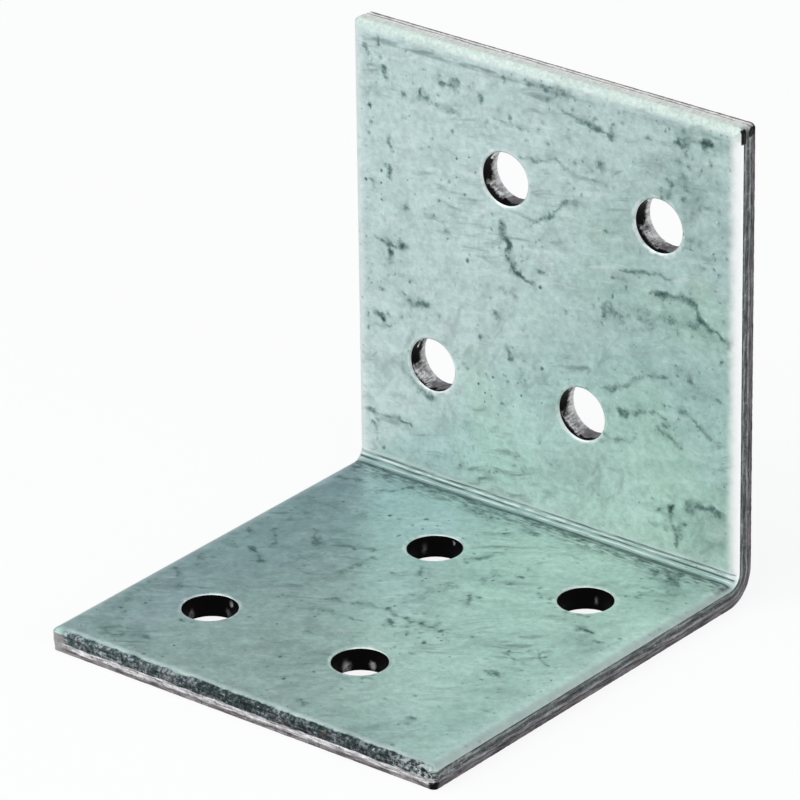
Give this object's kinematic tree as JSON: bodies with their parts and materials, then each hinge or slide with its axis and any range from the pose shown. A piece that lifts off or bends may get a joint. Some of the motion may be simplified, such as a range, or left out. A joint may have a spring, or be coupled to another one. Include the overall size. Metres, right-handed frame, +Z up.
{
  "type": "corner brace bracket",
  "caption": "Corner brace of zinc coated sheet steel, folded once to a right angle, with staggered punched screw holes in both legs.",
  "frame": {"origin": "middle of the footprint, on the underside of the flat leg", "axes": "+X along the fold, +Y from the flat leg's free end to the upright leg, +Z up along the upright leg"},
  "size_m": [0.038, 0.04, 0.0405],
  "materials": {
    "zinc_steel": "zinc coating, satin, with a faint green cast and dark drawn stains"
  },
  "bodies": {
    "root": {"corner_brace": "zinc_steel"}
  },
  "joints": []
}
